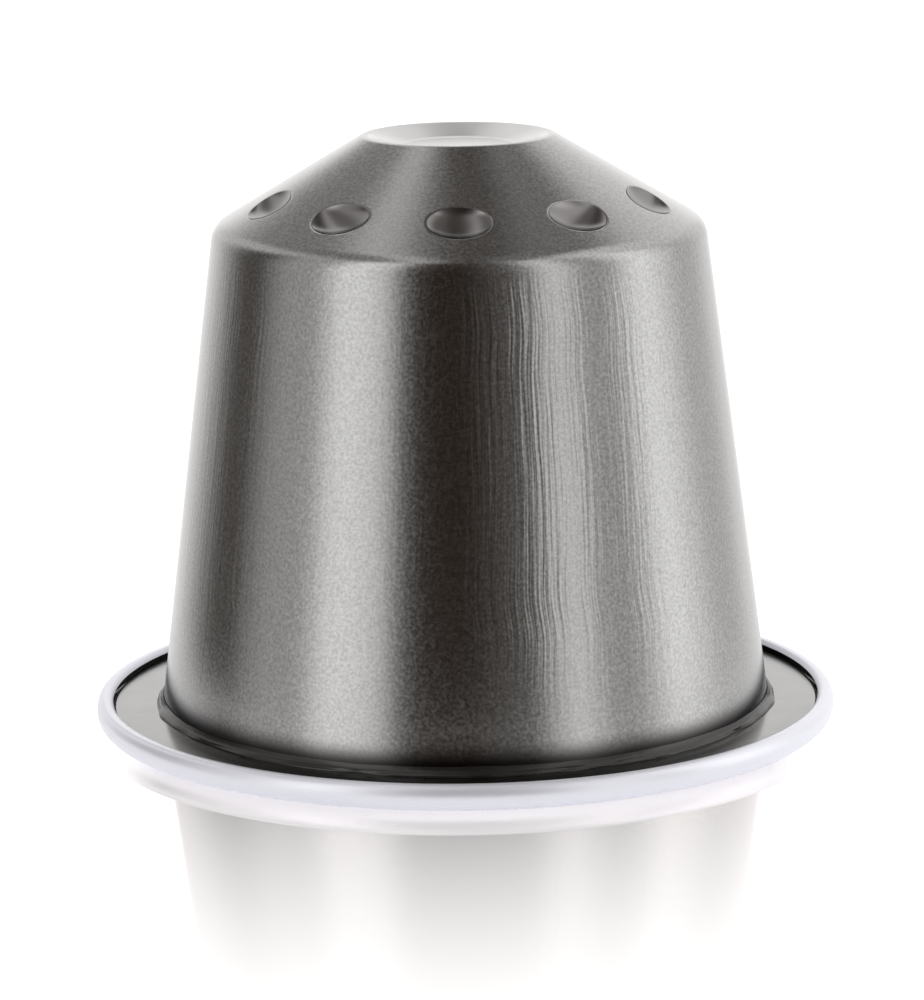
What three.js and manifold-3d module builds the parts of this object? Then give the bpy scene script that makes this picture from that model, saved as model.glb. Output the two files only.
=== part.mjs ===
// Small drawn-aluminium coffee capsule, sealed, standing on its rolled rim with its nose up.
// Millimetres, +Z up. The origin is on the axis, at the level that the rim stands on.
import * as THREE from 'three';
import { mergeVertices } from 'three/addons/utils/BufferGeometryUtils.js';
import Module from 'manifold-3d';

const wasm = await Module();
wasm.setup();

// Sheet, flange and rolled rim
const sheetThickness = 0.11;
const rimRadius = 18.5;
const rimHeight = 1.22;
const rimWidth = 0.9;
const standingFlat = 0.12;
const flangeUnderside = 0.68;
const curlEndAngle = 145;

// Cup: straight drawn wall, sloping shoulder and recessed nose
const footRadius = 15.21;
const footRound = 0.12;
const shoulderRadius = 12.14;
const shoulderHeight = 24.72;
const shoulderRound = 1.2;
const noseRadius = 4.75;
const noseRound = 0.55;
const noseHeight = 29.14;
const dishFloorRadius = 2.8;
const dishDepth = 0.85;
const dishRound = 0.9;

// Ring of oval dimples pressed into the shoulder
const dimpleCount = 10;
const dimpleInset = 2.46;
const dimpleWidth = 3.08;
const dimpleLength = 2.3;
const dimpleDepth = 0.38;
const dimplePunchHeight = 0.9;

// Sealing compound in the corner between wall and flange
const sealWidth = 0.41;
const sealHeight = 0.58;
const sealRound = 0.14;
const sealDraft = 0.05;
const sealFall = 0.12;
const sealClearance = 0.05;

// Lid foil, sealed flat to the flange and bowed slightly outwards across the cup's mouth
const lidThickness = 0.06;
const lidEdgeGap = 0.33;
const lidBow = 0.22;

// Fineness of the round shapes
const turnSegments = 60;
const curlQuarterSteps = 3;
const neckSteps = 3;
const cornerSteps = 4;
const lidBowSteps = 4;
const punchSides = 18;
const punchRings = 12;

const lacqueredAluminium = new THREE.MeshStandardMaterial({ color: 0x6b6763, roughness: 0.38, metalness: 0.85 });
const sealCompound = new THREE.MeshStandardMaterial({ color: 0x262423, roughness: 0.3, metalness: 0 });
const bareFoil = new THREE.MeshStandardMaterial({ color: 0xc9c8c6, roughness: 0.32, metalness: 1 });

const flangeTop = flangeUnderside + sheetThickness;
const flangeMiddle = flangeUnderside + sheetThickness / 2;
const rimMiddleRadius = rimRadius - rimWidth / 2;
const rimMiddleHeight = rimHeight / 2;
const curlHalfWidth = (rimWidth - standingFlat - sheetThickness) / 2;
const curlHalfHeight = (rimHeight - sheetThickness) / 2;
const curlInnerRadius = rimMiddleRadius - standingFlat / 2 - curlHalfWidth;
const neckRound = Math.max(flangeMiddle - rimMiddleHeight, sheetThickness * 0.6);
const dimpleRingRadius = shoulderRadius - dimpleInset;

function radians(degrees) {
  return (degrees * Math.PI) / 180;
}

function point(radius, height) {
  return new THREE.Vector2(radius, height);
}

// Rounds one corner of an outline with an arc that is tangent to both of its sides.
function roundedCorner(before, corner, after, radius, steps = cornerSteps) {
  const toBefore = before.clone().sub(corner);
  const toAfter = after.clone().sub(corner);
  const shortest = Math.min(toBefore.length(), toAfter.length());
  toBefore.normalize();
  toAfter.normalize();
  const halfAngle = Math.acos(THREE.MathUtils.clamp(toBefore.dot(toAfter), -1, 1)) / 2;
  const setback = Math.min(radius / Math.tan(halfAngle), shortest * 0.48);
  const arcRadius = setback * Math.tan(halfAngle);
  const toCentre = toBefore.clone().add(toAfter).normalize();
  const centre = corner.clone().addScaledVector(toCentre, arcRadius / Math.sin(halfAngle));
  const start = corner.clone().addScaledVector(toBefore, setback).sub(centre);
  const end = corner.clone().addScaledVector(toAfter, setback).sub(centre);
  const sweep = Math.atan2(start.cross(end), start.dot(end));
  const arc = [];
  for (let step = 0; step <= steps; step += 1) {
    arc.push(start.clone().rotateAround(point(0, 0), (sweep * step) / steps).add(centre));
  }
  return arc;
}

// One stretch of the roll's oval middle line. side picks the half of the oval, on the axis side (-1)
// or the outer side (1) of the flat that the rim stands on. Each entry holds a place and the
// direction that faces out of the roll there.
function ovalStretch(fromDegrees, toDegrees, side, steps) {
  const stretch = [];
  for (let step = 0; step <= steps; step += 1) {
    const angle = radians(fromDegrees + ((toDegrees - fromDegrees) * step) / steps);
    const place = point(
      rimMiddleRadius + (side * standingFlat) / 2 + curlHalfWidth * Math.cos(angle),
      rimMiddleHeight + curlHalfHeight * Math.sin(angle),
    );
    const outward = point(Math.cos(angle) / curlHalfWidth, Math.sin(angle) / curlHalfHeight).normalize();
    stretch.push({ place, outward });
  }
  return stretch;
}

// Neck where the flange bends down into the roll.
function neckStretch() {
  const stretch = [];
  for (let step = 0; step < neckSteps; step += 1) {
    const angle = radians(90 - (90 * step) / neckSteps);
    const place = point(
      curlInnerRadius - neckRound + neckRound * Math.cos(angle),
      flangeMiddle - neckRound + neckRound * Math.sin(angle),
    );
    stretch.push({ place, outward: point(-Math.cos(angle), -Math.sin(angle)) });
  }
  return stretch;
}

// Middle line of the rolled rim: down from the flange, under, out, over and in to its free edge.
function curlMiddleLine() {
  return [
    ...neckStretch(),
    ...ovalStretch(180, 270, -1, curlQuarterSteps),
    ...ovalStretch(270, 450, 1, curlQuarterSteps * 2),
    ...ovalStretch(450, 360 + curlEndAngle, -1, curlQuarterSteps - 1),
  ];
}

// Outline of the sealed cup, from the axis at the lid side, round the rolled rim and up to the nose.
// The flange's bare land runs from the roll's neck to the outer edge of the seal.
function bodyOutline() {
  const line = curlMiddleLine();
  const half = sheetThickness / 2;
  const outerFace = line.map(({ place, outward }) => place.clone().addScaledVector(outward, half));
  const innerFace = line.map(({ place, outward }) => place.clone().addScaledVector(outward, -half)).reverse();

  const flangeInner = point(footRadius + footRound * 2, flangeTop);
  const wallFoot = point(footRadius, flangeTop);
  const landStart = point(footRadius + sealWidth, flangeTop);
  const shoulder = point(shoulderRadius, shoulderHeight);
  const noseEdge = point(noseRadius, noseHeight);
  const dishEdge = point(dishFloorRadius, noseHeight - dishDepth);
  const dishCentre = point(0, noseHeight - dishDepth);

  return [
    point(0, flangeUnderside),
    ...outerFace,
    ...innerFace,
    landStart,
    ...roundedCorner(flangeInner, wallFoot, shoulder, footRound, 3),
    ...roundedCorner(wallFoot, shoulder, noseEdge, shoulderRound),
    ...roundedCorner(shoulder, noseEdge, dishEdge, noseRound),
    ...roundedCorner(noseEdge, dishEdge, dishCentre, dishRound, 4),
    dishCentre,
  ];
}

// Turns an outline round the axis and stands it up along +Z.
function turned(outline) {
  const geometry = new THREE.LatheGeometry(outline, turnSegments);
  geometry.rotateX(Math.PI / 2);
  return geometry;
}

function toSolid(geometry) {
  const bare = geometry.clone();
  bare.deleteAttribute('normal');
  bare.deleteAttribute('uv');
  const merged = mergeVertices(bare, 1e-5);
  return new wasm.Manifold(new wasm.Mesh({
    numProp: 3,
    vertProperties: Float32Array.from(merged.attributes.position.array),
    triVerts: Uint32Array.from(merged.index.array),
  }));
}

function toGeometry(solid) {
  const mesh = solid.getMesh();
  const geometry = new THREE.BufferGeometry();
  geometry.setAttribute('position', new THREE.BufferAttribute(mesh.vertProperties, 3));
  geometry.setIndex(new THREE.BufferAttribute(mesh.triVerts, 1));
  geometry.computeVertexNormals();
  return geometry;
}

// Rounded oval punch that leaves one dimple, square to the shoulder's slope at the ring radius.
function dimplePunch(index) {
  const run = shoulderRadius - noseRadius;
  const rise = noseHeight - shoulderHeight;
  const slopeHeight = shoulderHeight + (rise * (shoulderRadius - dimpleRingRadius)) / run;
  const tilt = Math.atan2(rise, run);
  const depthShare = (dimplePunchHeight - dimpleDepth) / dimplePunchHeight;
  const rimShare = Math.sqrt(1 - depthShare * depthShare);
  const punch = new THREE.SphereGeometry(1, punchSides, punchRings);
  punch.rotateX(Math.PI / 2);
  punch.scale(dimpleWidth / 2 / rimShare, dimpleLength / 2 / rimShare, dimplePunchHeight);
  punch.translate(0, 0, dimplePunchHeight - dimpleDepth);
  punch.rotateX(tilt);
  punch.translate(0, -dimpleRingRadius, slopeHeight);
  punch.rotateZ((2 * Math.PI * index) / dimpleCount);
  return punch;
}

function capsuleBody() {
  let solid = toSolid(turned(bodyOutline()));
  for (let index = 0; index < dimpleCount; index += 1) {
    solid = solid.subtract(toSolid(dimplePunch(index)));
  }
  return new THREE.Mesh(toGeometry(solid), lacqueredAluminium);
}

// Ring that fills the corner: its inner side follows the wall, its outer side stands on the flange.
function sealingRing() {
  const wallSlope = (shoulderRadius - footRadius) / (shoulderHeight - flangeTop);
  const wallAt = (height) => footRadius + wallSlope * (height - flangeTop) + sealClearance;
  const sealTop = flangeTop + sealHeight;
  const seatRadius = footRadius + footRound + sealClearance;
  const innerSeat = point(seatRadius, flangeTop);
  const innerStep = point(wallAt(flangeTop + footRound), flangeTop + footRound);
  const innerTop = point(wallAt(sealTop), sealTop);
  const outerTop = point(footRadius + sealWidth - sealDraft, sealTop - sealFall);
  const outerSeat = point(footRadius + sealWidth, flangeTop);
  const outline = [
    innerSeat,
    outerSeat,
    ...roundedCorner(outerSeat, outerTop, innerTop, sealRound, 3),
    innerTop,
    innerStep,
    innerSeat,
  ];
  return new THREE.Mesh(turned(outline), sealCompound);
}

// Foil disc: a flat land under the flange, and a shallow bow inside the cup's wall.
function lidFoil() {
  const lidRadius = curlInnerRadius - neckRound - lidEdgeGap;
  const bowRadius = footRadius - sheetThickness;
  const bowAt = (radius) => lidBow * (1 - (radius / bowRadius) ** 2) ** 2;
  const radii = [];
  for (let step = 0; step <= lidBowSteps; step += 1) {
    radii.push((bowRadius * step) / lidBowSteps);
  }
  const lowerFace = radii.map((radius) => point(radius, flangeUnderside - lidThickness - bowAt(radius)));
  const upperFace = radii.map((radius) => point(radius, flangeUnderside - bowAt(radius))).reverse();
  const outline = [
    ...lowerFace,
    point(lidRadius, flangeUnderside - lidThickness),
    point(lidRadius, flangeUnderside),
    ...upperFace,
  ];
  return new THREE.Mesh(turned(outline), bareFoil);
}

const group = new THREE.Group();
const pieces = {
  capsule_body: capsuleBody(),
  sealing_ring: sealingRing(),
  lid_foil: lidFoil(),
};
for (const [name, mesh] of Object.entries(pieces)) {
  mesh.name = name;
  group.add(mesh);
}

export default group;
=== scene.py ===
# Small lacquered aluminium coffee capsule, standing nose up on its rolled rim.
# Sizes and outlines are in millimetres. Meshes and materials are in metres.
import math

import bmesh
import bpy
from mathutils import Matrix, Vector


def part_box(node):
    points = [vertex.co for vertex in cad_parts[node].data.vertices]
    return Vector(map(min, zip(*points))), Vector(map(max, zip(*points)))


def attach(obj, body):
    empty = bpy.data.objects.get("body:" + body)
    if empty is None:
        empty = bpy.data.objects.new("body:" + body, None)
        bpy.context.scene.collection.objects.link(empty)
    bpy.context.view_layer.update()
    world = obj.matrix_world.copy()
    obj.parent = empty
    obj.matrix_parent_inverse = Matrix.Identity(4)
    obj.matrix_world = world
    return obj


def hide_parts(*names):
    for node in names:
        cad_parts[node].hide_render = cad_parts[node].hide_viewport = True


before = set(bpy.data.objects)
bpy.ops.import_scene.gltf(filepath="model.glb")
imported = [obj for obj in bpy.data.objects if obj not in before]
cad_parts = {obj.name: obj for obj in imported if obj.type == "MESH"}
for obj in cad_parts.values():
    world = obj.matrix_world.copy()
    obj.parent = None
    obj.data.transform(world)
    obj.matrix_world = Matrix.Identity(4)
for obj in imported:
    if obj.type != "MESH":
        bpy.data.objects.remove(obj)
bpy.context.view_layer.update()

MM = 0.001

# Sizes that come from the frame
body_low, body_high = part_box("capsule_body")
ring_low, ring_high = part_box("sealing_ring")
lid_low, lid_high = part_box("lid_foil")
RIM_RADIUS = body_high[0] / MM
SEAL_RADIUS = ring_high[0] / MM
FLANGE_TOP = ring_low[2] / MM
SEAL_TOP = ring_high[2] / MM
LID_RADIUS = lid_high[0] / MM
FLANGE_UNDERSIDE = lid_high[2] / MM
LID_LOW = lid_low[2] / MM

# Sheet, rolled rim and lid foil
SHEET = FLANGE_TOP - FLANGE_UNDERSIDE
RIM_WIDTH = 0.9
RIM_HEIGHT = 1.22
STANDING_FLAT = 0.12
CURL_END = 138
LID_SHEET = 0.06

# Wall, shoulder and recessed nose
FOOT_RADIUS = SEAL_RADIUS - 0.41
FOOT_ROUND = 0.12
SHOULDER_RADIUS = 12.14
SHOULDER_HEIGHT = 24.72
SHOULDER_ROUND = 1.2
NOSE_RADIUS = 4.62
NOSE_HEIGHT = 29.22
NOSE_ROUND = 0.55
DISH_FLOOR_RADIUS = 2.8
DISH_DEPTH = 0.6
DISH_ROUND = 1.2

# Oval dimples, and the band of the shoulder that holds them
DIMPLES = 10
DIMPLE_RING = SHOULDER_RADIUS - 2.46
DIMPLE_WIDTH = 3.08
DIMPLE_LENGTH = 2.3
DIMPLE_DEPTH = 0.38
DIMPLE_PUNCH = 0.9
DIMPLE_EDGE = 0.12
BAND_HALF_LENGTH = 1.9

# Seal: a hollowed section. Its edge and the part above its side wander a little, the edge mostly
# inwards, by the lean. Waves are (number round the ring, share, start in radians).
SEAL_CLEARANCE = 0.05
SEAL_INSET = 0.06
SEAL_EDGE_HEIGHT = 0.08
SEAL_TOP_DROP = 0.1
SEAL_HOLLOW = (0.12, 0.18)
SEAL_WANDER = 0.12
SEAL_TOP_WANDER = 0.03
SEAL_SIDE_HEIGHT = 0.2
SEAL_LEAN = 0.8
SEAL_WAVES = ((9, 0.5, 1.3), (23, 0.3, 0.4), (41, 0.2, 0.0))

# Fineness
COLUMNS = 240
SEAL_COLUMNS = 360
NECK_STEPS = 6
CURL_QUARTER_STEPS = 9
CURL_END_STEPS = 7
FOOT_STEPS = 4
WALL_ROWS = 12
CORNER_STEPS = 14
DISH_STEPS = 10
DISH_FLOOR_ROW = 1.4
BAND_ROWS = 16
BAND_CUTS = 9
DIMPLE_ROWS = 14
FILLET_STEPS = 12
LID_ROWS = 24

# Camera, fitted to the photograph's outlines
CAMERA_PLACE = (-0.044, -211.87, 56.63)
CAMERA_PITCH = 12.21
CAMERA_ROLL = 0.78
CAMERA_LENS = 156.36

# Finishes of the cup, by material index. The flange and dimple finishes carry painted shade, the nose
# finish painted light and the rim finish partly painted reflection.
SATIN, BURNISHED_PAINTED_SHADE, BARE_PAINTED_REFLECTION, DIMPLES_PAINTED_SHADE, NOSE_PAINTED_LIGHT = range(5)

CONE_SLOPE = math.atan2(NOSE_HEIGHT - SHOULDER_HEIGHT, SHOULDER_RADIUS - NOSE_RADIUS)


def colour(text):
    """sRGB hex text as a linear colour with alpha."""
    parts = [int(text[i:i + 2], 16) / 255 for i in (0, 2, 4)]
    linear = [p / 12.92 if p <= 0.04045 else ((p + 0.055) / 1.055) ** 2.4 for p in parts]
    return (*linear, 1.0)


def node(tree, kind, links=None, stops=(), **settings):
    """Adds a node. links maps its input names or numbers to output sockets or plain values. stops are
    the (position, linear colour) pairs of a colour ramp."""
    new = tree.nodes.new(kind)
    for name, value in settings.items():
        setattr(new, name, value)
    for socket, value in (links or {}).items():
        if isinstance(value, bpy.types.NodeSocket):
            tree.links.new(value, new.inputs[socket])
        else:
            new.inputs[socket].default_value = value
    if stops:
        points = new.color_ramp.elements
        points.remove(points[-1])
        points[0].position = stops[0][0]
        for position, _ in stops[1:]:
            points.new(position)
        for point, (_, shade) in zip(points, stops):
            point.color = shade
    return new


def deselect():
    bpy.ops.object.select_all(action="DESELECT")


# Camera

def make_camera():
    pitch = math.radians(CAMERA_PITCH)
    roll = math.radians(CAMERA_ROLL)
    forward = Vector((0, math.cos(pitch), -math.sin(pitch)))
    right = Vector((1, 0, 0))
    up = Vector((0, math.sin(pitch), math.cos(pitch)))
    turned_right = right * math.cos(roll) - up * math.sin(roll)
    turned_up = right * math.sin(roll) + up * math.cos(roll)
    data = bpy.data.cameras.new("camera")
    data.lens = CAMERA_LENS
    data.sensor_width = 36
    data.clip_start = 0.01
    camera = bpy.data.objects.new("camera", data)
    bpy.context.scene.collection.objects.link(camera)
    axes = Matrix((turned_right, turned_up, -forward)).transposed()
    camera.matrix_world = Matrix.Translation(Vector(CAMERA_PLACE) * MM) @ axes.to_4x4()
    bpy.context.scene.camera = camera


# Outlines: lists of (radius, height)

def arc_corner(before, corner, after, radius, steps=CORNER_STEPS):
    """Points of the arc that rounds one corner of an outline."""
    corner = Vector(corner)
    to_before = (Vector(before) - corner).normalized()
    to_after = (Vector(after) - corner).normalized()
    half = math.acos(max(-1, min(1, to_before.dot(to_after)))) / 2
    setback = radius / math.tan(half)
    centre = corner + (to_before + to_after).normalized() * (radius / math.sin(half))
    start = corner + to_before * setback - centre
    end = corner + to_after * setback - centre
    sweep = math.atan2(start.x * end.y - start.y * end.x, start.dot(end))
    points = []
    for step in range(steps + 1):
        turn = sweep * step / steps
        points.append((
            centre.x + start.x * math.cos(turn) - start.y * math.sin(turn),
            centre.y + start.x * math.sin(turn) + start.y * math.cos(turn),
        ))
    return points


def curl_line():
    """Middle line of the rolled rim, as pairs of a place and the direction that faces out of the roll."""
    half_width = (RIM_WIDTH - STANDING_FLAT - SHEET) / 2
    half_height = (RIM_HEIGHT - SHEET) / 2
    middle_radius = RIM_RADIUS - RIM_WIDTH / 2
    middle_height = RIM_HEIGHT / 2
    neck = (FLANGE_TOP + FLANGE_UNDERSIDE) / 2 - middle_height
    neck_radius = middle_radius - STANDING_FLAT / 2 - half_width - neck
    line = []
    for step in range(NECK_STEPS):
        angle = math.radians(90 - 90 / NECK_STEPS * step)
        place = (neck_radius + neck * math.cos(angle), middle_height + neck * math.sin(angle))
        line.append((place, (-math.cos(angle), -math.sin(angle))))
    stretches = (
        (180, 270, -1, CURL_QUARTER_STEPS),
        (270, 450, 1, CURL_QUARTER_STEPS * 2),
        (450, 360 + CURL_END, -1, CURL_END_STEPS),
    )
    for start, end, side, steps in stretches:
        for step in range(steps + 1):
            angle = math.radians(start + (end - start) * step / steps)
            place = (
                middle_radius + side * STANDING_FLAT / 2 + half_width * math.cos(angle),
                middle_height + half_height * math.sin(angle),
            )
            out = Vector((math.cos(angle) / half_width, math.sin(angle) / half_height)).normalized()
            line.append((place, tuple(out)))
    return line


def offset(line, distance):
    return [(place[0] + out[0] * distance, place[1] + out[1] * distance) for place, out in line]


def cone_height(radius):
    """Height of the sloping shoulder at a radius, before the dimples."""
    return SHOULDER_HEIGHT + (SHOULDER_RADIUS - radius) * math.tan(CONE_SLOPE)


def band_edge(side):
    """Where the dimple band ends, towards the nose (1) or towards the wall (-1)."""
    reach = side * BAND_HALF_LENGTH
    return (
        DIMPLE_RING - reach * math.cos(CONE_SLOPE),
        cone_height(DIMPLE_RING) + reach * math.sin(CONE_SLOPE),
    )


def outline_below_dimples():
    line = curl_line()
    foot = (FOOT_RADIUS, FLANGE_TOP)
    shoulder = (SHOULDER_RADIUS, SHOULDER_HEIGHT)
    nose = (NOSE_RADIUS, NOSE_HEIGHT)
    low = arc_corner((SEAL_RADIUS, FLANGE_TOP), foot, shoulder, FOOT_ROUND, FOOT_STEPS)
    high = arc_corner(foot, shoulder, nose, SHOULDER_ROUND)
    wall = []
    for row in range(1, WALL_ROWS):
        share = row / WALL_ROWS
        wall.append((
            low[-1][0] + (high[0][0] - low[-1][0]) * share,
            low[-1][1] + (high[0][1] - low[-1][1]) * share,
        ))
    return [
        (0, FLANGE_UNDERSIDE),
        (FOOT_RADIUS, FLANGE_UNDERSIDE),
        *offset(line, SHEET / 2),
        *reversed(offset(line, -SHEET / 2)),
        (SEAL_RADIUS, FLANGE_TOP),
        *low,
        *wall,
        *high,
        band_edge(-1),
    ]


def outline_above_dimples():
    dish_height = NOSE_HEIGHT - DISH_DEPTH
    shoulder = (SHOULDER_RADIUS, SHOULDER_HEIGHT)
    nose = (NOSE_RADIUS, NOSE_HEIGHT)
    dish_edge = (DISH_FLOOR_RADIUS, dish_height)
    centre = (0, dish_height)
    return [
        band_edge(1),
        *arc_corner(shoulder, nose, dish_edge, NOSE_ROUND),
        *arc_corner(nose, dish_edge, centre, DISH_ROUND, DISH_STEPS),
        (DISH_FLOOR_ROW, dish_height),
        centre,
    ]


# Modelling tools

def start_piece(name):
    """A new empty mesh at the origin, in edit mode."""
    deselect()
    bpy.ops.mesh.primitive_plane_add(size=MM, location=(0, 0, 0))
    piece = bpy.context.object
    piece.name = name
    piece.data.name = name
    bpy.context.tool_settings.mesh_select_mode = (True, False, False)
    bpy.ops.object.mode_set(mode="EDIT")
    bpy.ops.mesh.select_all(action="SELECT")
    bpy.ops.mesh.merge(type="CENTER")
    bpy.ops.mesh.delete(type="VERT")
    return piece


def draw_outline(outline):
    """Draws an outline in the XZ plane: one vertex, then one extrude for each further point."""
    bpy.ops.mesh.select_all(action="DESELECT")
    bpy.ops.mesh.primitive_plane_add(size=MM, location=(outline[0][0] * MM, 0, outline[0][1] * MM))
    bpy.ops.mesh.merge(type="CENTER")
    for before, after in zip(outline, outline[1:]):
        step = ((after[0] - before[0]) * MM, 0, (after[1] - before[1]) * MM)
        bpy.ops.mesh.extrude_vertices_move(TRANSFORM_OT_translate={"value": step})


def spin_all(columns=COLUMNS):
    """Turns everything drawn once round the Z axis."""
    bpy.ops.mesh.select_all(action="SELECT")
    bpy.ops.mesh.spin(steps=columns, angle=2 * math.pi, center=(0, 0, 0), axis=(0, 0, 1))


def close_up():
    """Closes seams and poles, and turns all faces outwards."""
    bpy.ops.mesh.select_all(action="SELECT")
    bpy.ops.mesh.remove_doubles(threshold=0.002 * MM)
    bpy.ops.mesh.select_all(action="SELECT")
    bpy.ops.mesh.dissolve_degenerate(threshold=0.001 * MM)
    bpy.ops.mesh.normals_make_consistent(inside=False)


def finish_mesh(materials, sharp=40):
    """Leaves edit mode, smooths all edges below the sharp angle in degrees and adds the materials."""
    bpy.ops.object.mode_set(mode="OBJECT")
    bpy.ops.object.shade_smooth_by_angle(angle=math.radians(sharp))
    for material in materials:
        bpy.context.object.data.materials.append(material)


# Dimples

def dimple_patch():
    """One sector of the shoulder with its dimple, modelled flat and then wrapped on the cone."""
    piece = start_piece("dimple_patch")
    across = COLUMNS // DIMPLES
    half_arc = math.pi * DIMPLE_RING / DIMPLES
    bpy.ops.mesh.primitive_grid_add(x_subdivisions=across, y_subdivisions=BAND_ROWS, size=2 * MM)
    bpy.ops.transform.resize(value=(half_arc, BAND_HALF_LENGTH, 1))
    mesh = bmesh.from_edit_mesh(piece.data)
    for vertex in mesh.verts:
        vertex.select = not vertex.is_boundary
    mesh.select_flush_mode()
    bmesh.update_edit_mesh(piece.data)
    bpy.ops.mesh.delete(type="VERT")
    bpy.ops.mesh.primitive_circle_add(vertices=2 * (across + BAND_ROWS), radius=MM)
    bpy.ops.transform.resize(value=(DIMPLE_WIDTH / 2, DIMPLE_LENGTH / 2, 1))
    bpy.ops.mesh.select_all(action="SELECT")
    bpy.ops.mesh.bridge_edge_loops(number_cuts=BAND_CUTS, interpolation="LINEAR")
    press_dimple(piece)
    round_oval(piece)
    wrap_on_cone(piece)
    bpy.ops.mesh.select_all(action="SELECT")
    bpy.ops.mesh.normals_make_consistent(inside=False)
    bpy.ops.object.mode_set(mode="OBJECT")
    return piece


def press_dimple(piece):
    """Extrudes the oval edge inwards and down, row by row, to the shape that a round punch leaves."""
    mesh = bmesh.from_edit_mesh(piece.data)
    for edge in mesh.edges:
        edge.select = edge.is_boundary and all(on_oval(v) for v in edge.verts)
    bpy.context.tool_settings.mesh_select_mode = (False, True, False)
    bmesh.update_edit_mesh(piece.data)
    depth_share = (DIMPLE_PUNCH - DIMPLE_DEPTH) / DIMPLE_PUNCH
    rim_share = math.sqrt(1 - depth_share ** 2)
    # The last row stops this share of a row short of the middle.
    last_gap = 0.35
    reach = 1.0
    depth = 0.0
    for row in range(1, DIMPLE_ROWS + 1):
        new_reach = math.cos(math.pi / 2 * row / (DIMPLE_ROWS + last_gap))
        new_depth = DIMPLE_PUNCH * (math.sqrt(1 - (rim_share * new_reach) ** 2) - depth_share)
        shrink = new_reach / reach
        bpy.ops.mesh.extrude_edges_move()
        bpy.ops.transform.resize(value=(shrink, shrink, 1), center_override=(0, 0, 0))
        bpy.ops.transform.translate(value=(0, 0, (depth - new_depth) * MM))
        reach = new_reach
        depth = new_depth
    bpy.ops.mesh.edge_face_add()
    bpy.ops.mesh.poke()


def round_oval(piece):
    """A small round on the oval edge catches the light."""
    mesh = bmesh.from_edit_mesh(piece.data)
    for edge in mesh.edges:
        edge.select = all(on_oval(v) for v in edge.verts)
    mesh.select_flush_mode()
    bmesh.update_edit_mesh(piece.data)
    bpy.ops.mesh.bevel(offset=DIMPLE_EDGE * MM, segments=3, affect="EDGES")


def oval_distance(vertex):
    """1 on the dimple's oval edge, less inside it."""
    across = vertex.co.x / (DIMPLE_WIDTH / 2 * MM)
    along = vertex.co.y / (DIMPLE_LENGTH / 2 * MM)
    return math.hypot(across, along)


def on_oval(vertex):
    return abs(oval_distance(vertex) - 1) < 0.001


def wrap_on_cone(piece):
    """Wraps the flat patch on the shoulder: x runs round it, y up its slope and z out of it. In the
    oval the width is true. Towards the patch's border it turns into equal angles."""
    near_oval = 1.05
    border_share = 0.35
    mesh = bmesh.from_edit_mesh(piece.data)
    half_arc = math.pi * DIMPLE_RING / DIMPLES
    for vertex in mesh.verts:
        x, y, height = vertex.co / MM
        border = max(abs(x) / half_arc, abs(y) / BAND_HALF_LENGTH)
        true_share = max(0.0, min(1.0, (1 - border) / border_share))
        if oval_distance(vertex) <= near_oval:
            true_share = 1.0
        surface_radius = DIMPLE_RING - y * math.cos(CONE_SLOPE)
        angle = x / DIMPLE_RING * (1 + true_share * (DIMPLE_RING / surface_radius - 1))
        radius = surface_radius + height * math.sin(CONE_SLOPE)
        level = cone_height(DIMPLE_RING) + y * math.sin(CONE_SLOPE) + height * math.cos(CONE_SLOPE)
        vertex.co = Vector((radius * math.sin(angle), -radius * math.cos(angle), level)) * MM
    bmesh.update_edit_mesh(piece.data)


# Pieces

def make_body(materials):
    patch = dimple_patch()
    body = start_piece("drawn_cup")
    draw_outline(outline_below_dimples())
    draw_outline(outline_above_dimples())
    spin_all()
    bpy.ops.object.mode_set(mode="OBJECT")
    copies = []
    for index in range(DIMPLES):
        copy = patch.copy()
        copy.data = patch.data.copy()
        copy.data.transform(Matrix.Rotation(2 * math.pi * index / DIMPLES, 4, "Z"))
        bpy.context.scene.collection.objects.link(copy)
        copies.append(copy)
    bpy.data.objects.remove(patch)
    deselect()
    for copy in copies:
        copy.select_set(True)
    body.select_set(True)
    bpy.context.view_layer.objects.active = body
    bpy.ops.object.join()
    bpy.ops.object.mode_set(mode="EDIT")
    close_up()
    finish_mesh(materials)
    for face in body.data.polygons:
        face.material_index = body_finish(face)
    return body


def body_finish(face):
    """Which finish a face of the cup has, by its place."""
    margin = 0.01
    centre = face.center / MM
    radius = math.hypot(centre.x, centre.y)
    if radius > FOOT_RADIUS and centre.z < RIM_HEIGHT + margin:
        on_flange = face.normal.z > 0.5 and centre.z > FLANGE_UNDERSIDE + SHEET * 0.6
        lacquered = inside_of_roll(radius, centre.z) or (on_flange and radius < RIM_RADIUS - RIM_WIDTH)
        return BURNISHED_PAINTED_SHADE if lacquered else BARE_PAINTED_REFLECTION
    if centre.z < FLANGE_UNDERSIDE + margin:
        return BARE_PAINTED_REFLECTION
    if radius < NOSE_RADIUS - NOSE_ROUND * 0.4 and centre.z > NOSE_HEIGHT - DISH_DEPTH - margin:
        return NOSE_PAINTED_LIGHT
    in_band = band_edge(1)[0] < radius < band_edge(-1)[0]
    return DIMPLES_PAINTED_SHADE if in_band and centre.z < cone_height(radius) - 0.012 else SATIN


def inside_of_roll(radius, height):
    """Whether a point is on the lacquered inner face of the rolled rim."""
    across = (radius - (RIM_RADIUS - RIM_WIDTH / 2)) / (RIM_WIDTH / 2 - SHEET * 0.6)
    up = (height - RIM_HEIGHT / 2) / (RIM_HEIGHT / 2 - SHEET * 0.6)
    return math.hypot(across, up) < 1


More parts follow.
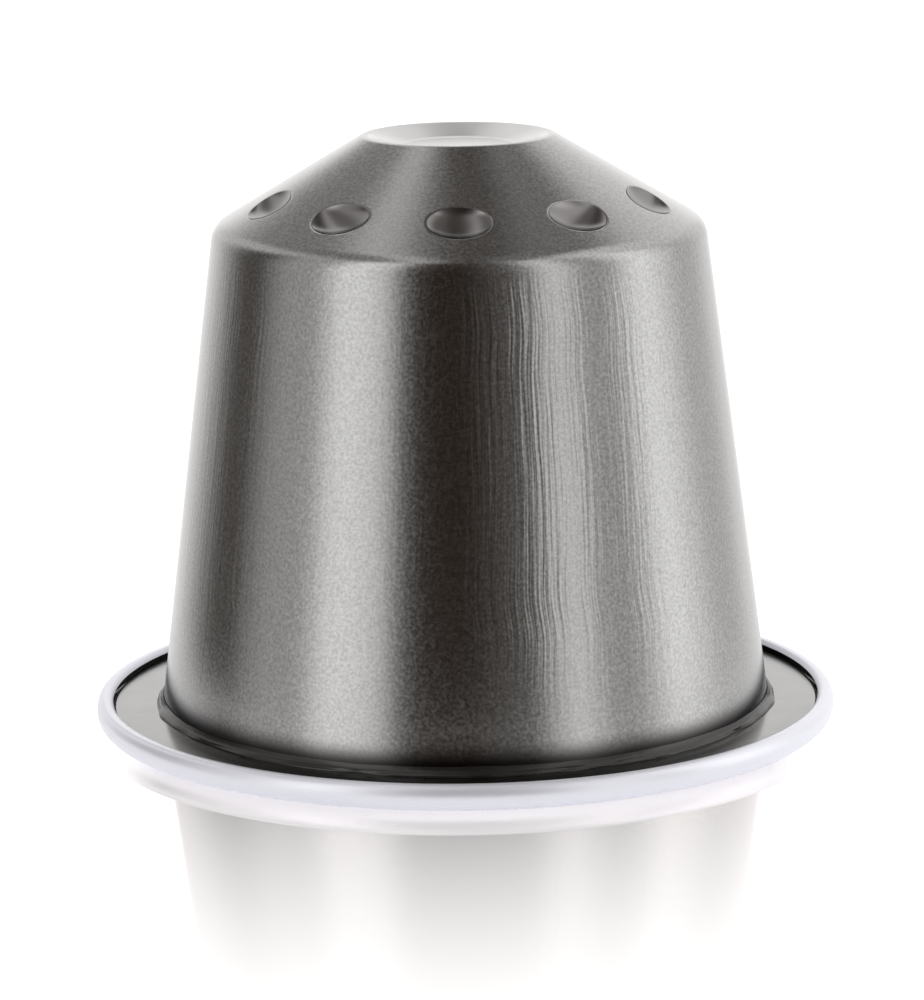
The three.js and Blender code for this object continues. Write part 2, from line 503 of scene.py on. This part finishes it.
def make_seal(material):
    """Compound cast into the corner: hollowed face, and an edge that wanders a little."""
    seal = start_piece("seal_compound")
    slope = (SHOULDER_RADIUS - FOOT_RADIUS) / (SHOULDER_HEIGHT - FLANGE_TOP)
    wall_radius = FOOT_RADIUS + slope * (SEAL_TOP - FLANGE_TOP) + SEAL_CLEARANCE
    wall_top = (wall_radius, SEAL_TOP - SEAL_TOP_DROP)
    inner_seat = (FOOT_RADIUS + FOOT_ROUND + SEAL_CLEARANCE, FLANGE_TOP)
    outer_seat = (SEAL_RADIUS - SEAL_INSET, FLANGE_TOP)
    outer_edge = (outer_seat[0], FLANGE_TOP + SEAL_EDGE_HEIGHT)
    hollow = (FOOT_RADIUS + SEAL_HOLLOW[0], FLANGE_TOP + SEAL_HOLLOW[1])
    fillet = []
    for step in range(FILLET_STEPS + 1):
        share = step / FILLET_STEPS
        fillet.append(tuple(
            (1 - share) ** 2 * start + 2 * share * (1 - share) * middle + share ** 2 * end
            for start, middle, end in zip(outer_edge, hollow, wall_top)
        ))
    draw_outline([inner_seat, outer_seat, *fillet, inner_seat])
    spin_all(SEAL_COLUMNS)
    close_up()
    mesh = bmesh.from_edit_mesh(seal.data)
    for vertex in mesh.verts:
        angle = math.atan2(vertex.co.x, -vertex.co.y)
        radius = math.hypot(vertex.co.x, vertex.co.y) / MM
        share = max(0.0, (radius - inner_seat[0]) / (SEAL_RADIUS - inner_seat[0]))
        wander = sum(size * math.sin(waves * angle + start) for waves, size, start in SEAL_WAVES)
        growth = (radius + SEAL_WANDER * share * (wander - SEAL_LEAN)) / radius
        vertex.co.x *= growth
        vertex.co.y *= growth
        if vertex.co.z > (FLANGE_TOP + SEAL_SIDE_HEIGHT) * MM:
            vertex.co.z += SEAL_TOP_WANDER * MM * (wander - 1)
    bmesh.update_edit_mesh(seal.data)
    finish_mesh([material], 60)
    return seal


def make_lid(material):
    """Foil disc: flat where it is sealed under the flange, bowed across the cup's mouth."""
    lid = start_piece("lid_membrane")
    lower = FLANGE_UNDERSIDE - LID_SHEET
    bow = lower - LID_LOW
    bow_radius = FOOT_RADIUS - SHEET

    def face(level):
        points = []
        for row in range(LID_ROWS + 1):
            share = row / LID_ROWS
            points.append((bow_radius * share, level - bow * (1 - share ** 2) ** 2))
        return points

    draw_outline([
        *face(lower),
        (LID_RADIUS, lower),
        (LID_RADIUS, FLANGE_UNDERSIDE),
        *reversed(face(FLANGE_UNDERSIDE)),
    ])
    spin_all()
    close_up()
    finish_mesh([material])
    return lid


# Materials

def new_material(name):
    """A material with an empty node tree, and the socket that gives a place on the piece."""
    material = bpy.data.materials.new(name)
    material.use_nodes = True
    tree = material.node_tree
    tree.nodes.clear()
    return material, tree, node(tree, "ShaderNodeTexCoord").outputs["Object"]


def finish_material(tree, shader):
    node(tree, "ShaderNodeOutputMaterial", {"Surface": shader.outputs[0]})


def azimuth(tree, parts):
    """Angle round the Z axis in radians, 0 in front (-Y) and growing to the right (+X)."""
    ahead = node(tree, "ShaderNodeMath", {0: parts.outputs["Y"], 1: -1.0}, operation="MULTIPLY")
    return node(tree, "ShaderNodeMath", {
        0: parts.outputs["X"], 1: ahead.outputs[0],
    }, operation="ARCTAN2").outputs[0]


def draw_lines(tree, place):
    """Fine, slightly bent lines up the wall, 0.25 mm apart, where the sheet slid through the drawing
    die: noise that changes quickly round the axis and slowly along it."""
    lines_per_radian = 62.0
    rows_per_metre = 160.0
    parts = node(tree, "ShaderNodeSeparateXYZ", {"Vector": place})
    angle = azimuth(tree, parts)
    rows = node(tree, "ShaderNodeMath", {
        0: parts.outputs["Z"], 1: rows_per_metre,
    }, operation="MULTIPLY").outputs[0]
    bends = node(tree, "ShaderNodeTexNoise", {
        "W": rows, "Scale": 1.0, "Detail": 1.0,
    }, noise_dimensions="1D").outputs["Fac"]
    bend = node(tree, "ShaderNodeMath", {0: bends, 1: 3.2}, operation="MULTIPLY")
    spread = node(tree, "ShaderNodeMath", {
        0: angle, 1: lines_per_radian, 2: bend.outputs[0],
    }, operation="MULTIPLY_ADD")
    around = node(tree, "ShaderNodeCombineXYZ", {"X": spread.outputs[0], "Y": rows})
    lines = node(tree, "ShaderNodeTexNoise", {
        "Vector": around.outputs[0], "Scale": 1.0, "Detail": 1.0, "Roughness": 0.5,
    }).outputs["Fac"]
    # They are strongest 22 degrees right and 70 degrees left of the front: (radians, extra strength)
    strength = 0.1
    for side_angle, extra in ((0.38, 0.9), (-1.22, 0.5)):
        off_side = node(tree, "ShaderNodeMath", {0: angle, 1: side_angle}, operation="SUBTRACT")
        side = node(tree, "ShaderNodeMath", {0: off_side.outputs[0]}, operation="COSINE")
        near = node(tree, "ShaderNodeMapRange", {
            "Value": side.outputs[0], "From Min": 0.85, "From Max": 0.98, "To Min": 0.0, "To Max": extra,
        }).outputs[0]
        strength = node(tree, "ShaderNodeMath", {0: near, 1: strength}, operation="ADD").outputs[0]
    below_shoulder, above_foot = (
        node(tree, "ShaderNodeMapRange", {
            "Value": parts.outputs["Z"], "From Min": none * MM, "From Max": full * MM,
        }).outputs[0] for none, full in ((24.5, 23.0), (2.0, 8.0))
    )
    for share in (strength, below_shoulder, above_foot):
        lines = node(tree, "ShaderNodeMath", {0: lines, 1: share}, operation="MULTIPLY").outputs[0]
    return lines


def satin_lacquer():
    """Aluminium sheet under a tinted satin lacquer: metallic grains of 0.15 mm and fine drawing lines.
    The last millimetre above the seal is darker: painted shade at the foot of the wall."""
    material, tree, place = new_material("satin_lacquered_aluminium")
    grain = node(tree, "ShaderNodeTexNoise", {
        "Vector": place, "Scale": 1 / (0.15 * MM), "Detail": 1.5, "Roughness": 0.6,
    }).outputs["Fac"]
    tint = node(tree, "ShaderNodeValToRGB", {"Fac": grain}, [
        (0.3, colour("8e8e8e")), (0.7, colour("a8a8a7")),
    ])
    level = node(tree, "ShaderNodeSeparateXYZ", {"Vector": place}).outputs["Z"]
    # Painted shade: below 2.4 mm the base colour blends to a dark brown-grey at the foot of the wall.
    foot = node(tree, "ShaderNodeMapRange", {
        "Value": level, "From Min": 1.2 * MM, "From Max": 2.4 * MM,
    }, interpolation_type="SMOOTHSTEP").outputs[0]
    body = node(tree, "ShaderNodeMixRGB", {
        "Fac": foot, "Color1": colour("2e2b29"), "Color2": tint.outputs["Color"],
    })
    rough = node(tree, "ShaderNodeMapRange", {
        "Value": grain, "From Min": 0.3, "From Max": 0.7, "To Min": 0.19, "To Max": 0.25,
    }).outputs[0]
    lined = node(tree, "ShaderNodeBump", {
        "Height": draw_lines(tree, place), "Strength": 1.0, "Distance": 0.018 * MM,
    })
    grained = node(tree, "ShaderNodeBump", {
        "Height": grain, "Strength": 0.1, "Distance": 0.02 * MM, "Normal": lined.outputs[0],
    })
    finish_material(tree, node(tree, "ShaderNodeBsdfPrincipled", {
        "Base Color": body.outputs[0], "Metallic": 1.0, "Roughness": rough,
        "Normal": grained.outputs[0],
    }))
    return material


def smooth_lacquer(name, dark, light, roughness):
    """The same lacquer where a tool pressed the sheet smooth: hardly any grain."""
    material, tree, place = new_material(name)
    cloud = node(tree, "ShaderNodeTexNoise", {
        "Vector": place, "Scale": 700.0, "Detail": 3.0,
    }).outputs["Fac"]
    tint = node(tree, "ShaderNodeValToRGB", {"Fac": cloud}, [(0.0, colour(dark)), (1.0, colour(light))])
    bump = node(tree, "ShaderNodeBump", {"Height": cloud, "Strength": 0.05, "Distance": 0.02 * MM})
    finish_material(tree, node(tree, "ShaderNodeBsdfPrincipled", {
        "Base Color": tint.outputs["Color"], "Metallic": 1.0, "Roughness": roughness,
        "Normal": bump.outputs[0],
    }))
    return material


def flange_lacquer_painted_shade():
    """Lacquered aluminium of the flange and the inside of the roll, burnished by the rolling tool. Its base
    colour is darker than the wall's: painted shade and painted reflection of the dark wall above it.
    """
    return smooth_lacquer("burnished_flange_painted_shade", "747473", "868685", 0.18)


def dimple_lacquer_painted_shade():
    """Lacquered aluminium in the dimples, with a darker base colour than the wall: painted shade in the
    hollows.
    """
    return smooth_lacquer("pressed_dimples_painted_shade", "767473", "868483", 0.24)


def nose_lacquer_painted_light():
    """Lacquered aluminium in the recessed nose, glossy, with a lighter base colour than the wall: painted
    light on the dish.
    """
    return smooth_lacquer("nose_dish_painted_light", "a2a2a1", "b2b2b1", 0.2)


def bare_aluminium_painted_reflection():
    """Aluminium under a clear satin coat on the rolled rim: whitish, with fine lines round the roll,
    one each 0.11 mm. Its bluish white base colour and low metallic are partly the metal's pale tone
    and partly painted reflection of the bright floor."""
    material, tree, place = new_material("bare_rolled_rim_painted_reflection")
    level = node(tree, "ShaderNodeSeparateXYZ", {"Vector": place}).outputs["Z"]
    rows = node(tree, "ShaderNodeMath", {0: level, 1: 9000.0}, operation="MULTIPLY")
    cloud = node(tree, "ShaderNodeTexNoise", {
        "Vector": place, "Scale": 300.0, "Detail": 2.0,
    }).outputs["Fac"]
    bent_rows = node(tree, "ShaderNodeMath", {0: rows.outputs[0], 1: cloud}, operation="ADD")
    lines = node(tree, "ShaderNodeTexNoise", {
        "W": bent_rows.outputs[0], "Scale": 1.0, "Detail": 3.0,
    }, noise_dimensions="1D").outputs["Fac"]
    bump = node(tree, "ShaderNodeBump", {"Height": lines, "Strength": 0.05, "Distance": 0.02 * MM})
    # Painted reflection: the bluish white, half diffuse base colour stands partly for the bright floor
    # mirrored in the rim.
    finish_material(tree, node(tree, "ShaderNodeBsdfPrincipled", {
        "Base Color": colour("f3f4fd"), "Metallic": 0.42, "Roughness": 0.36, "Normal": bump.outputs[0],
    }))
    return material


def seal_compound():
    """Cast dark grey sealing compound: smooth and glossy, a little uneven. Its near-black base colour also
    carries painted shade of the corner between wall and flange.
    """
    material, tree, place = new_material("cast_seal_painted_shade")
    cloud = node(tree, "ShaderNodeTexNoise", {
        "Vector": place, "Scale": 900.0, "Detail": 2.0,
    }).outputs["Fac"]
    # Painted shade: the near-black tint stands partly for the shade in the corner at the wall's foot.
    tint = node(tree, "ShaderNodeValToRGB", {"Fac": cloud}, [
        (0.0, colour("181614")), (1.0, colour("2a2725")),
    ])
    bump = node(tree, "ShaderNodeBump", {"Height": cloud, "Strength": 0.3, "Distance": 0.05 * MM})
    finish_material(tree, node(tree, "ShaderNodeBsdfPrincipled", {
        "Base Color": tint.outputs["Color"], "Roughness": 0.22, "IOR": 1.5, "Normal": bump.outputs[0],
    }))
    return material


def lid_aluminium():
    """Heat-sealed lid foil: bright rolled foil with slight crinkles."""
    material, tree, place = new_material("sealed_lid_foil")
    crinkle = node(tree, "ShaderNodeTexNoise", {
        "Vector": place, "Scale": 220.0, "Detail": 4.0,
    }).outputs["Fac"]
    rolled = node(tree, "ShaderNodeMapping", {"Vector": place, "Scale": (9000.0, 300.0, 300.0)})
    lines = node(tree, "ShaderNodeTexNoise", {"Vector": rolled.outputs[0], "Scale": 1.0}).outputs["Fac"]
    height = node(tree, "ShaderNodeMath", {0: lines, 1: 0.15, 2: crinkle}, operation="MULTIPLY_ADD")
    bump = node(tree, "ShaderNodeBump", {
        "Height": height.outputs[0], "Strength": 0.35, "Distance": 0.2 * MM,
    })
    finish_material(tree, node(tree, "ShaderNodeBsdfPrincipled", {
        "Base Color": colour("d6d6d8"), "Metallic": 1.0, "Roughness": 0.3, "Normal": bump.outputs[0],
    }))
    return material


# Stage and light

def floor_polish(tree, place, reach):
    """How much the table mirrors. It is polished in front of the capsule, less with the distance, and
    mirrors more at a low slant."""
    parts = node(tree, "ShaderNodeSeparateXYZ", {"Vector": place})
    side = node(tree, "ShaderNodeMath", {0: parts.outputs["X"]}, operation="ABSOLUTE")
    beside = node(tree, "ShaderNodeMapRange", {
        "Value": side.outputs[0], "From Min": 14.2 * MM, "From Max": 17.5 * MM,
        "To Min": 1.0, "To Max": 0.0,
    }, interpolation_type="SMOOTHSTEP")
    ahead = node(tree, "ShaderNodeMapRange", {
        "Value": parts.outputs["Y"], "From Min": -10.0 * MM, "From Max": -4.0 * MM,
        "To Min": 1.0, "To Max": 0.0,
    }, interpolation_type="SMOOTHSTEP")
    near = node(tree, "ShaderNodeMapRange", {
        "Value": reach, "From Min": 18.0 * MM, "From Max": 56.0 * MM, "To Min": 2.9, "To Max": 0.0,
    })
    polish = node(tree, "ShaderNodeFresnel", {"IOR": 1.5}).outputs[0]
    for share in (near, beside, ahead):
        polish = node(tree, "ShaderNodeMath", {
            0: polish, 1: share.outputs[0],
        }, operation="MULTIPLY").outputs[0]
    return polish


def make_floor():
    """Pale glossy table. The camera sees it topped up to white; the capsule's shadow stays."""
    deselect()
    bpy.ops.mesh.primitive_circle_add(vertices=96, radius=2.0, fill_type="NGON", location=(0, 0, 0))
    floor = bpy.context.object
    floor.name = "floor"
    material, tree, place = new_material("white_floor")
    reach = node(tree, "ShaderNodeVectorMath", {0: place}, operation="LENGTH").outputs["Value"]
    path = node(tree, "ShaderNodeLightPath")
    matt = node(tree, "ShaderNodeBsdfDiffuse", {"Color": (0.8, 0.8, 0.8, 1)})
    top_up = node(tree, "ShaderNodeEmission", {"Color": (1, 1, 1, 1), "Strength": 0.65})
    lit = node(tree, "ShaderNodeAddShader", {0: matt.outputs[0], 1: top_up.outputs[0]})
    looked_at = node(tree, "ShaderNodeMath", {
        0: path.outputs["Is Camera Ray"], 1: path.outputs["Is Glossy Ray"],
    }, operation="MAXIMUM")
    seen = node(tree, "ShaderNodeMixShader", {
        "Fac": looked_at.outputs[0], 1: matt.outputs[0], 2: lit.outputs[0],
    })
    mirror = node(tree, "ShaderNodeBsdfGlossy", {"Color": (1, 0.945, 0.935, 1), "Roughness": 0.02})
    mirrored = node(tree, "ShaderNodeMath", {
        0: floor_polish(tree, place, reach), 1: path.outputs["Is Camera Ray"],
    }, operation="MULTIPLY")
    table = node(tree, "ShaderNodeMixShader", {
        "Fac": mirrored.outputs[0], 1: seen.outputs[0], 2: mirror.outputs[0],
    })
    # The table is small for what the metal mirrors; beyond it the metal mirrors the studio.
    far = node(tree, "ShaderNodeMapRange", {"Value": reach, "From Min": 24.0 * MM, "From Max": 45.0 * MM})
    beyond = node(tree, "ShaderNodeMath", {
        0: far.outputs[0], 1: path.outputs["Is Glossy Ray"],
    }, operation="MULTIPLY")
    gap = node(tree, "ShaderNodeBsdfTransparent")
    finish_material(tree, node(tree, "ShaderNodeMixShader", {
        "Fac": beyond.outputs[0], 1: table.outputs[0], 2: gap.outputs[0],
    }))
    floor.data.materials.append(material)


# Soft boxes that stand round the capsule: (degrees from the camera's side, brightness)
BOXES_AROUND = (
    (-180, 1.0), (-164, 1.1), (-150, 1.15), (-140, 0.9), (-132, 0.65), (-122, 0.27), (-115, 0.12),
    (-103, 0.1), (-94, 0.42), (-84, 0.68), (-70, 0.68), (-64, 0.85), (-56, 1.85), (-46, 1.8),
    (-34, 1.45), (-26, 0.28), (-21, 0.02), (2, 0.02), (16, 0.13), (26, 0.14), (35, 1.05), (44, 1.7),
    (56, 0.72), (66, 0.57), (76, 1.15), (88, 2.1), (104, 1.55), (116, 1.0), (132, 0.95), (148, 1.2),
    (164, 1.05), (180, 1.0),
)

# Strips that hang overhead from front to back: (degrees off the zenith, brightness)
STRIPS_ABOVE = (
    (-60, 1.1), (-46, 1.05), (-40, 0.68), (-34, 0.42), (-23, 0.43), (-20, 0.7), (-16, 1.4), (-12, 1.15),
    (-7, 0.4), (-3, 0.15), (7, 0.13), (14, 0.44), (21, 0.3), (24, 0.4), (30, 1.25), (36, 1.45), (60, 1.45),
)
STRIP_SHARE = 0.84
LIGHT_STRENGTH = 2.0


def row_of_boxes(tree, angle, half_turn, boxes, share=1.0):
    """Light of a row of boxes, by an angle in radians that runs from -half_turn to half_turn degrees."""
    limit = math.radians(half_turn)
    place = node(tree, "ShaderNodeMapRange", {"Value": angle, "From Min": -limit, "From Max": limit})
    stops = []
    for degrees, brightness in boxes:
        grey = brightness * share / LIGHT_STRENGTH
        stops.append(((degrees + half_turn) / (2 * half_turn), (grey, grey, grey, 1)))
    return node(tree, "ShaderNodeValToRGB", {"Fac": place.outputs[0]}, stops).outputs["Color"]


def white_board(tree, parts):
    """Where a white board stands behind the capsule, 1 on the board and soft at its edges."""
    sideways = node(tree, "ShaderNodeMath", {0: parts.outputs["X"]}, operation="ABSOLUTE")
    width = node(tree, "ShaderNodeMapRange", {
        "Value": sideways.outputs[0], "From Min": 0.36, "From Max": 0.2,
    }, interpolation_type="SMOOTHSTEP")
    height = node(tree, "ShaderNodeMapRange", {
        "Value": parts.outputs["Z"], "From Min": 0.78, "From Max": 0.6,
    }, interpolation_type="SMOOTHSTEP")
    behind = node(tree, "ShaderNodeMath", {0: parts.outputs["Y"], 1: 0.0}, operation="GREATER_THAN")
    board = node(tree, "ShaderNodeMath", {0: width.outputs[0], 1: height.outputs[0]}, operation="MULTIPLY")
    return node(tree, "ShaderNodeMath", {
        0: board.outputs[0], 1: behind.outputs[0],
    }, operation="MULTIPLY").outputs[0]


def make_light():
    """Studio of soft boxes round the capsule, as a world. The camera sees it white."""
    world = bpy.data.worlds.new("studio")
    bpy.context.scene.world = world
    world.use_nodes = True
    tree = world.node_tree
    tree.nodes.clear()
    direction = node(tree, "ShaderNodeTexCoord").outputs["Generated"]
    parts = node(tree, "ShaderNodeSeparateXYZ", {"Vector": direction})
    around = row_of_boxes(tree, azimuth(tree, parts), 180, BOXES_AROUND)
    roll = node(tree, "ShaderNodeMath", {0: parts.outputs["X"], 1: parts.outputs["Z"]}, operation="ARCTAN2")
    above = row_of_boxes(tree, roll.outputs[0], 60, STRIPS_ABOVE, STRIP_SHARE)
    # The strips begin higher up in front than at the back.
    slant = node(tree, "ShaderNodeMath", {
        0: parts.outputs["Y"], 1: 0.45, 2: parts.outputs["Z"],
    }, operation="MULTIPLY_ADD")
    rise = node(tree, "ShaderNodeMapRange", {
        "Value": slant.outputs[0], "From Min": 0.52, "From Max": 0.74,
    }, interpolation_type="SMOOTHSTEP")
    studio = node(tree, "ShaderNodeMixRGB", {"Fac": rise.outputs[0], "Color1": around, "Color2": above})
    with_board = node(tree, "ShaderNodeMixRGB", {
        "Fac": white_board(tree, parts), "Color1": studio.outputs[0], "Color2": (0.68, 0.68, 0.68, 1),
    })
    # The dark between the boxes is a warm black.
    warm = node(tree, "ShaderNodeMixRGB", {
        "Fac": 1.0, "Color1": with_board.outputs[0], "Color2": (0.012, 0.005, 0.0, 1),
    }, blend_type="ADD")
    light = node(tree, "ShaderNodeBackground", {"Color": warm.outputs[0], "Strength": LIGHT_STRENGTH})
    white = node(tree, "ShaderNodeBackground", {"Color": (1, 1, 1, 1), "Strength": 1.0})
    path = node(tree, "ShaderNodeLightPath")
    seen = node(tree, "ShaderNodeMixShader", {
        "Fac": path.outputs["Is Camera Ray"], 1: light.outputs[0], 2: white.outputs[0],
    })
    node(tree, "ShaderNodeOutputWorld", {"Surface": seen.outputs[0]})


make_camera()
body = make_body([
    satin_lacquer(), flange_lacquer_painted_shade(), bare_aluminium_painted_reflection(), dimple_lacquer_painted_shade(), nose_lacquer_painted_light(),
])
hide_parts("capsule_body")
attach(body, "root")

seal = make_seal(seal_compound())
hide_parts("sealing_ring")
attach(seal, "root")

lid = make_lid(lid_aluminium())
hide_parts("lid_foil")
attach(lid, "root")

make_floor()
make_light()
bpy.context.scene.view_settings.view_transform = "Standard"
